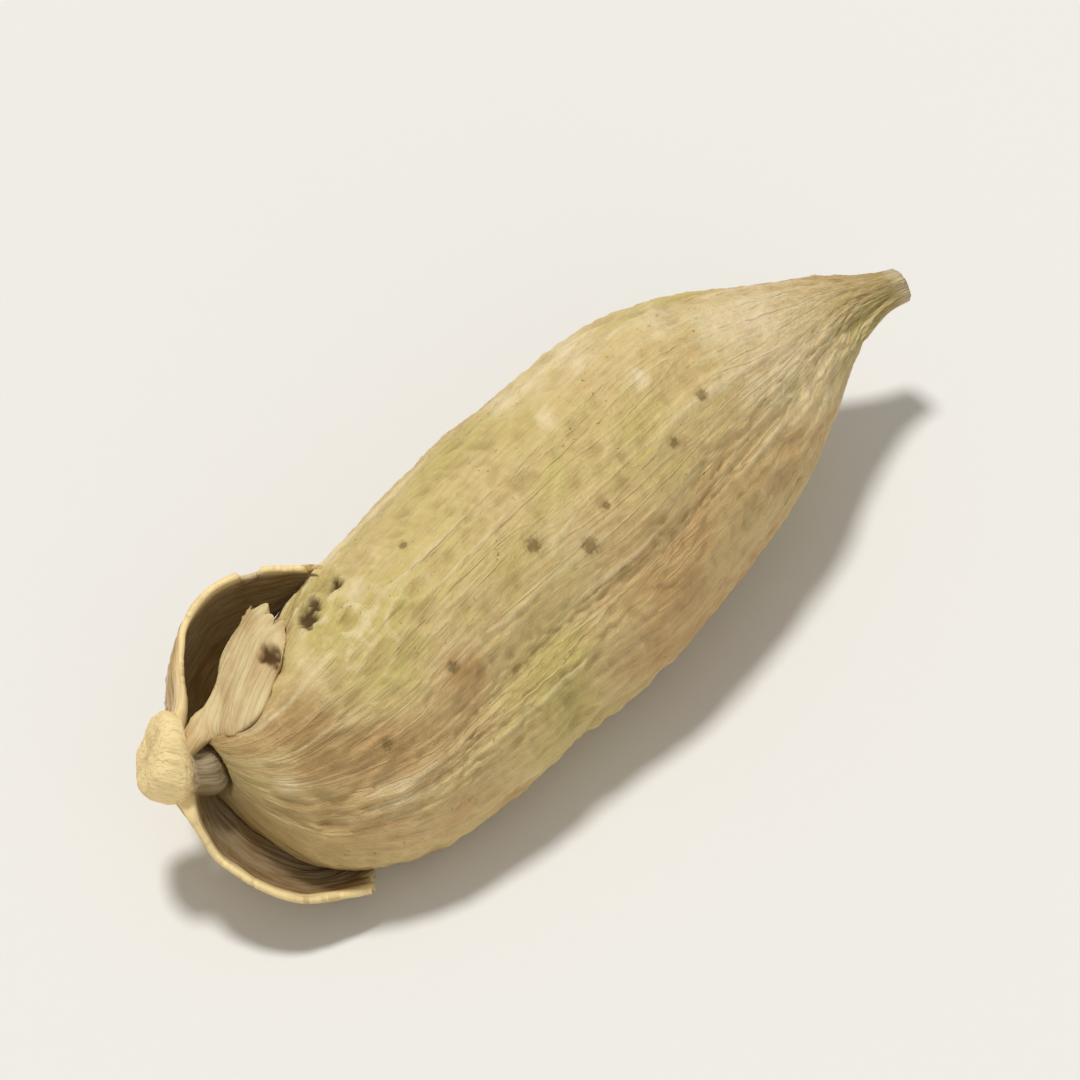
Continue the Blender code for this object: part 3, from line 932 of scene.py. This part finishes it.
def stalk_ring(t):
    """A ring of the stub, rough like a bundle of fibres, and the values of STALK_RECORD there."""
    along, radius = (number * MM for number in curve_at(STALK_PROFILE_MM, t))
    straight, lean = Vector((-1, 0, 0)), place(-math.cos(STALK_LEAN), math.sin(STALK_LEAN))
    forward = straight.lerp(lean, min(max(along / LEAN_END, 0), 1)).normalized()
    thin_way = forward.cross(across(BACK_UP + math.pi / 2)).normalized()
    wide_way = thin_way.cross(forward).normalized()
    root = place(0, OUTLINE[0][2] * POD_WIDTH)
    broken = ease(*END_FACE, t)
    points, records = [], []
    for i in range(STALK_SIDES):
        turn = math.tau * i / STALK_SIDES
        grain = Vector((radius * math.cos(turn), radius * math.sin(turn), along)) / MM
        rough = layered(grain, STALK_ROUGHNESS)
        out = radius + rough * MM * ease(*SMOOTH_END, t)
        torn = layered(grain, STALK_TEARS) * MM * ease(*TORN_END, t)
        side = math.cos(turn) * thin_way + math.sin(turn) * wide_way
        points.append(root + (along + torn) * forward + out * side)
        groove = GROOVE_SHADE * ease(*GROOVE_MM, rough) * (1 - broken)
        pith = PITH_SHADE * ease(*PITH_MM, radius / MM) * broken
        # Painted shade round the neck below the swollen end.
        neck = NECK_SHADE * ease(*NECK_END, t)
        records.append((grain, max(groove, pith), broken * (1 - pith), neck, 0.0))
    return points, records


def make_stub(material):
    count = (len(STALK_PROFILE_MM) - 1) * STALK_RINGS_PER_SPAN
    rings, records = zip(*(stalk_ring(i / STALK_RINGS_PER_SPAN) for i in range(count + 1)))
    records = [record for ring in records for record in ring] + [records[0][0], records[-1][-1]]
    ends = (ring_middle(rings[0]), ring_middle(rings[-1]))
    mesh = closed_tube("stalk_stub", rings, *ends, named(STALK_RECORD, records))
    mesh.transform(Matrix.Translation(pod_shift()))
    return add_piece("stalk_stub", mesh, material, "stalk")


def on_pod(t, angle, gap):
    """A point that stands off the pod by the gap, at a point of its outline and an angle."""
    share, width_share, drift = curve_at(OUTLINE, t)
    next_share, next_width, _ = curve_at(OUTLINE, t + SHORT_WAY)
    middle = place(share * POD_LENGTH, drift * POD_WIDTH)
    rise = Vector(((next_share - share) * POD_LENGTH, crest_radius(next_width - width_share, angle)))
    rise.normalize()
    stand_off = Vector((-rise.y, 0, 0)) + rise.x * across(angle)
    return middle + crest_radius(width_share, angle) * across(angle) + gap * stand_off


def lobe_routes(rim, root, edge, gap):
    """The curves along a lobe's rim and its edge, as points."""
    near = [place(*(number * MM for number in point)) for point in rim]
    far = [place(*(number * MM for number in root))]
    far += [on_pod(t, math.radians(angle), gap) for t, angle in edge]
    return near, far


def lobe_point(routes, t, v, cup):
    """A point of a lobe, v going from 0 at its rim to 1 at its edge, its way outwards and its width."""
    spans = [len(route) - 1 for route in routes]
    near, far = (Vector(curve_at(route, t * span)) for route, span in zip(routes, spans))
    ahead = Vector(curve_at(routes[0], min(t * spans[0] + SHORT_WAY, spans[0])))
    behind = Vector(curve_at(routes[0], max(t * spans[0] - SHORT_WAY, 0)))
    away = (far - near).cross(ahead - behind).normalized()
    belly = (near + far) / 2 + 2 * cup * math.sin(math.pi * t) ** CUP_POWER * away
    return near * (1 - v) ** 2 + belly * 2 * v * (1 - v) + far * v * v, away, (far - near).length


def tear_at(along_mm, seed):
    """How deep the rim of a lobe is torn at this length along it, as a share."""
    notch = ease(*TEAR_EDGES, ripple((along_mm / TEAR_MM, seed, 2), (1, 1, 1)))
    return notch + NICK_SHARE * abs(ripple((along_mm / NICK_MM, seed, 5), (1, 1, 1)))


def lobe_grid(routes, cup, seed):
    """Points on the middle of a lobe's thickness, row by row from its root, and their grain."""
    count = (len(routes[0]) - 1) * LOBE_ROWS_PER_SPAN
    length = sum((far - near).length for near, far in zip(routes[0], routes[0][1:])) / MM
    rows, grains = [], []
    for i in range(count + 1):
        share = i / count
        tear = TEAR_DEPTH_MM * tear_at(share * length, seed) * ease(*UNTORN_ROOT, share)
        row, row_grain = [], []
        for j in range(LOBE_COLUMNS):
            v = j / (LOBE_COLUMNS - 1)
            uneven = FRAY_MEAN + ripple((v, seed, 0), (FRAY_WIDTH, 1, 1))
            fray = FRAY_MM / length * uneven * share**FRAY_POWER
            t = min(max(share - fray, 0), 1)
            width = lobe_point(routes, t, 0, 0)[2] / MM
            v = at_least(tear / width, v)
            spot, away, _ = lobe_point(routes, t, v, cup * MM)
            row.append(spot + layered((t * length, v * width, seed), LOBE_WAVES) * MM * away)
            row_grain.append(Vector((v * width, seed, t * length)))
        rows.append(row)
        grains.append(row_grain)
    return rows, grains


def lobe_sides(point, normal, grain, share, thick, skin):
    """The outer and the inner point of a lobe, each with the values of STALK_RECORD there."""
    vein = math.cos(math.tau * (grain.x + layered(grain, VEIN_WAVER)) / VEIN_SPACING_MM)
    relief = VEIN_HEIGHT * (1 - SKIN_CALM * skin) * vein
    bare = max(ease(*BARE_RIM_MM, grain.x), ease(*BARE_END, share), ease(*BARE_ROOT, share))
    bare *= 1 - SKIN_CALM * skin
    # The pits get painted shade inside them.
    pit = pit_at(in_view(point))
    point = point - PIT_DEPTH * pit * normal
    # The inner side gets painted shade: darker and browner inside the cup, away from the rim.
    shade = INNER_SHADE * ease(*SHADE_FROM_MM, grain.x)
    front = (grain, VEIN_SHADE * (1 - vein), bare, pit, skin)
    back = (grain, INNER_PAINTED_SHADE + INNER_VEIN_SHADE * vein, bare, max(pit, shade), skin)
    return (point + (thick + relief) * normal, front), (point - (thick - relief / 2) * normal, back)


def make_lobe(name, routes, cup, seed, settings, material):
    """A torn lobe of the bract: a thin cupped sheet with veins along it."""
    rows, grains = lobe_grid(routes, cup, seed)
    last, end = len(rows) - 1, LOBE_COLUMNS - 1
    skin = SKIN_LIKE.get(name, 0.0)
    rings, records = [], []
    for i, row in enumerate(rows):
        outer, inner = [], []
        at_root = 1 + ROOT_GAIN * ease(ROOT_END, 0.0, i / last)
        for j, point in enumerate(row):
            aside = row[min(j + 1, end)] - row[max(j - 1, 0)]
            forward = rows[min(i + 1, last)][j] - rows[max(i - 1, 0)][j]
            normal = aside.cross(forward).normalized() * math.copysign(1, cup)
            from_middle = abs(2 * j / end - 1)
            thick = settings.bract_thickness / 2 * (1 - EDGE_THINNING * from_middle**THINNING_POWER)
            front, back = lobe_sides(point, normal, grains[i][j], i / last, thick * at_root, skin)
            outer.append(front)
            inner.append(back)
        ring = inner + outer[::-1] if cup > 0 else outer + inner[::-1]
        rings.append([point for point, _ in ring])
        records += [record for _, record in ring]
    records += [records[0], records[-1]]
    ends = (ring_middle(rings[0]), ring_middle(rings[-1]))
    mesh = closed_tube(name, rings, *ends, named(STALK_RECORD, records))
    mesh.transform(Matrix.Translation(pod_shift()))
    return add_piece(name, mesh, material, "stalk")


def length_setting(name, description, length_mm):
    """A length that the user can change, which starts as this many millimetres."""
    return bpy.props.FloatProperty(
        name=name, description=description, default=length_mm * MM, min=0, unit="LENGTH",
    )


def colour_setting(name, description, code):
    """A colour that the user can change, which starts as this sRGB hex code."""
    return bpy.props.FloatVectorProperty(
        name=name, description=description, default=linear(code), subtype="COLOR", size=4,
    )


class HuskSettings(bpy.types.PropertyGroup):
    rib_height: length_setting("Rib height", "Height of the ribs along the pod", 0.065)
    dent_depth: length_setting("Dent depth", "Depth of the broad hollows in the skin", 0.10)
    crinkle_height: length_setting("Crinkle height", "Height of the creases in the skin", 0.042)
    fibre_height: length_setting("Fibre height", "Height of the fine fibres along the pod", 0.010)
    straw_colour: colour_setting("Straw", "Main colour of the husk", "#dcc285")
    green_colour: colour_setting("Green", "Colour of the greener patches", "#d0be72")
    tan_colour: colour_setting("Tan", "Colour of the warmer, browner patches", "#cfaa71")
    brown_colour: colour_setting("Brown", "Colour of the most weathered patches", "#ad8549")
    fibre_colour: colour_setting("Fibre", "Colour of the darker fibres", "#b39760")
    valley_colour: colour_setting("Valley", "Colour deep between the ribs", "#947843")
    # This colour also paints the highlight along the pod's upper edge.
    crest_and_highlight_colour: colour_setting("Crest", "Colour of the worn tops of the ribs", "#ecd9aa")
    # This colour also paints the highlight along the pod's upper side.
    torn_and_highlight_colour: colour_setting("Torn", "Colour of the bract's margin and of the torn tip", "#f3ddb6")
    fleck_colour: colour_setting("Fleck", "Colour of the small dark flecks", "#7d6536")
    # This colour is painted shade inside the torn holes.
    painted_shade_colour: colour_setting("Deep", "Colour inside the torn holes", "#54390f")


class StalkSettings(bpy.types.PropertyGroup):
    bract_thickness: length_setting("Bract thickness", "Thickness of the bract's torn lobes", 0.24)
    bare_colour: colour_setting("Bare", "Colour of the freshly broken faces and torn rims", "#ffe4a6")
    skin_colour: colour_setting("Skin", "Colour of a lobe that is stuck to the pod", "#e3cd97")
    cream_colour: colour_setting("Cream", "Main colour of the dried fibres", "#eedab0")
    shade_colour: colour_setting("Brown", "Colour of the browner patches", "#cfae7a")
    # This colour also paints the shade inside the lobes' cups.
    dirt_and_shade_colour: colour_setting("Dirt", "Colour between the fibres", "#876742")
    # This colour is painted shade: inside the torn holes and the cupped lobes, and round the stalk's
    # neck.
    painted_shade_colour: colour_setting("Deep", "Colour inside the torn holes and the cupped lobes", "#54390f")


class StudioSettings(bpy.types.PropertyGroup):
    azimuth: bpy.props.FloatProperty(
        name="Azimuth", description="Where the camera stands round the pod, 0 looking along +Y",
        default=math.radians(-42), subtype="ANGLE",
    )
    elevation: bpy.props.FloatProperty(
        name="Elevation", description="How far above the horizon the camera stands",
        default=math.radians(50), subtype="ANGLE",
    )
    lens: bpy.props.FloatProperty(
        name="Lens", description="Focal length in millimetres", default=300, min=1,
    )
    key_strength: bpy.props.FloatProperty(
        name="Key light", description="Strength of the soft main light", default=2.15, min=0,
    )
    fill_strength: bpy.props.FloatProperty(
        name="Fill light", description="Strength of the light that opens the shade",
        default=0.35, min=0,
    )
    room_strength: bpy.props.FloatProperty(
        name="Room light", description="Strength of the light from all round", default=0.42, min=0,
    )
    floor_colour: colour_setting("Floor", "Colour of the studio paper", "#eae8e3")


class CARDAMOM_OT_add_husk(bpy.types.Operator):
    """Add the ribbed husk in place of the plain capsule"""

    bl_idname = "cardamom.add_husk"
    bl_label = "Add Husk"

    def execute(self, context):
        make_husk(context.scene.cardamom_husk)
        return {"FINISHED"}


class CARDAMOM_OT_add_stalk(bpy.types.Operator):
    """Add the stub of the stalk and the lobes of the bract in place of the plain stalk"""

    bl_idname = "cardamom.add_stalk"
    bl_label = "Add Stalk and Bract"

    def execute(self, context):
        settings = context.scene.cardamom_stalk
        material = stalk_material(settings)
        make_stub(material)
        for name, rim, root, edge, cup, gap, seed in LOBES:
            routes = lobe_routes(rim, root, edge, gap * MM)
            make_lobe(name, routes, cup, seed, settings, material)
        return {"FINISHED"}


def add_sun(name, direction, strength, angle):
    data = bpy.data.lights.new(name, "SUN")
    data.energy = strength
    data.angle = angle
    sun = bpy.data.objects.new(name, data)
    sun.rotation_mode = "QUATERNION"
    sun.rotation_quaternion = direction.to_track_quat("Z", "Y")
    bpy.context.scene.collection.objects.link(sun)


def add_floor(colour):
    turns = (math.tau * i / FLOOR_SIDES for i in range(FLOOR_SIDES))
    points = [(FLOOR_RADIUS * math.cos(turn), FLOOR_RADIUS * math.sin(turn), 0) for turn in turns]
    mesh = bpy.data.meshes.new("studio_floor")
    mesh.from_pydata(points, [], [list(range(FLOOR_SIDES))])
    floor = bpy.data.objects.new("studio_floor", mesh)
    mesh.materials.append(floor_material(colour))
    bpy.context.scene.collection.objects.link(floor)


def add_camera(settings):
    """The camera at the photograph's angle, as far away as the pod's box needs."""
    low, high = CAD_BOX
    azimuth, elevation = settings.azimuth, settings.elevation
    back = math.cos(elevation) * Vector((math.sin(azimuth), -math.cos(azimuth), 0))
    back.z = math.sin(elevation)
    data = bpy.data.cameras.new("camera")
    data.lens = settings.lens
    wide = (high - low).x * math.cos(azimuth) / FRAME_FILL
    distance = wide * data.lens / data.sensor_width
    data.clip_start, data.clip_end = distance / 100, distance * 100
    camera = bpy.data.objects.new("camera", data)
    camera.location = (low + high) / 2 + distance * back
    camera.rotation_mode = "QUATERNION"
    camera.rotation_quaternion = back.to_track_quat("Z", "Y")
    bpy.context.scene.collection.objects.link(camera)
    bpy.context.scene.camera = camera


class CARDAMOM_OT_add_studio(bpy.types.Operator):
    """Add a pale floor, soft light and the camera"""

    bl_idname = "cardamom.add_studio"
    bl_label = "Add Studio"

    def execute(self, context):
        settings = context.scene.cardamom_studio
        add_floor(settings.floor_colour)
        add_sun("key_light", KEY_DIRECTION, settings.key_strength, KEY_ANGLE)
        add_sun("fill_light", FILL_DIRECTION, settings.fill_strength, FILL_ANGLE)
        world = bpy.data.worlds.new("studio_room")
        world.use_nodes = True
        background = world.node_tree.nodes["Background"]
        background.inputs["Color"].default_value = settings.floor_colour
        background.inputs["Strength"].default_value = settings.room_strength
        context.scene.world = world
        context.scene.view_settings.view_transform = "Standard"
        add_camera(settings)
        return {"FINISHED"}


class VIEW3D_PT_cardamom(bpy.types.Panel):
    bl_label = "Cardamom Pod"
    bl_space_type = "VIEW_3D"
    bl_region_type = "UI"
    bl_category = "Cardamom"

    def draw(self, context):
        for operator, settings in (
            ("cardamom.add_husk", context.scene.cardamom_husk),
            ("cardamom.add_stalk", context.scene.cardamom_stalk),
            ("cardamom.add_studio", context.scene.cardamom_studio),
        ):
            box = self.layout.box()
            for name in settings.__annotations__:
                box.prop(settings, name)
            box.operator(operator)


CLASSES = (
    HuskSettings,
    StalkSettings,
    StudioSettings,
    CARDAMOM_OT_add_husk,
    CARDAMOM_OT_add_stalk,
    CARDAMOM_OT_add_studio,
    VIEW3D_PT_cardamom,
)


def register():
    for cls in CLASSES:
        bpy.utils.register_class(cls)
    bpy.types.Scene.cardamom_husk = bpy.props.PointerProperty(type=HuskSettings)
    bpy.types.Scene.cardamom_stalk = bpy.props.PointerProperty(type=StalkSettings)
    bpy.types.Scene.cardamom_studio = bpy.props.PointerProperty(type=StudioSettings)


def unregister():
    del bpy.types.Scene.cardamom_studio
    del bpy.types.Scene.cardamom_stalk
    del bpy.types.Scene.cardamom_husk
    for cls in reversed(CLASSES):
        bpy.utils.unregister_class(cls)


def main():
    register()
    bpy.ops.cardamom.add_studio()
    bpy.ops.cardamom.add_husk()
    bpy.ops.cardamom.add_stalk()


if __name__ == "__main__":
    main()
